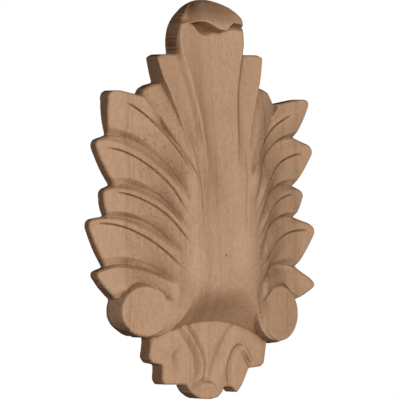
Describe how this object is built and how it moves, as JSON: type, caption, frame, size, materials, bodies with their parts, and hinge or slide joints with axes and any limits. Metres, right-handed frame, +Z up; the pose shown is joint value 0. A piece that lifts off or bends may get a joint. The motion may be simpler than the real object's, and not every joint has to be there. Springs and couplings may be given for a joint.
{
  "type": "wooden rosette",
  "caption": "Carved wooden palmette rosette with a fluted stem, fanned leaves, scrolls and a small tail leaf, flat behind for fixing to furniture or a panel.",
  "frame": {"origin": "on the flat back face, on the middle line, at half the height", "axes": "+Z up along the stem towards the cap, the carved front faces -Y, +Y goes into the surface it is fixed to"},
  "size_m": [0.1166, 0.0248, 0.1778],
  "materials": {
    "wood": "unfinished sanded hardwood, matt"
  },
  "bodies": {
    "root": {"rosette": "wood"}
  },
  "joints": []
}
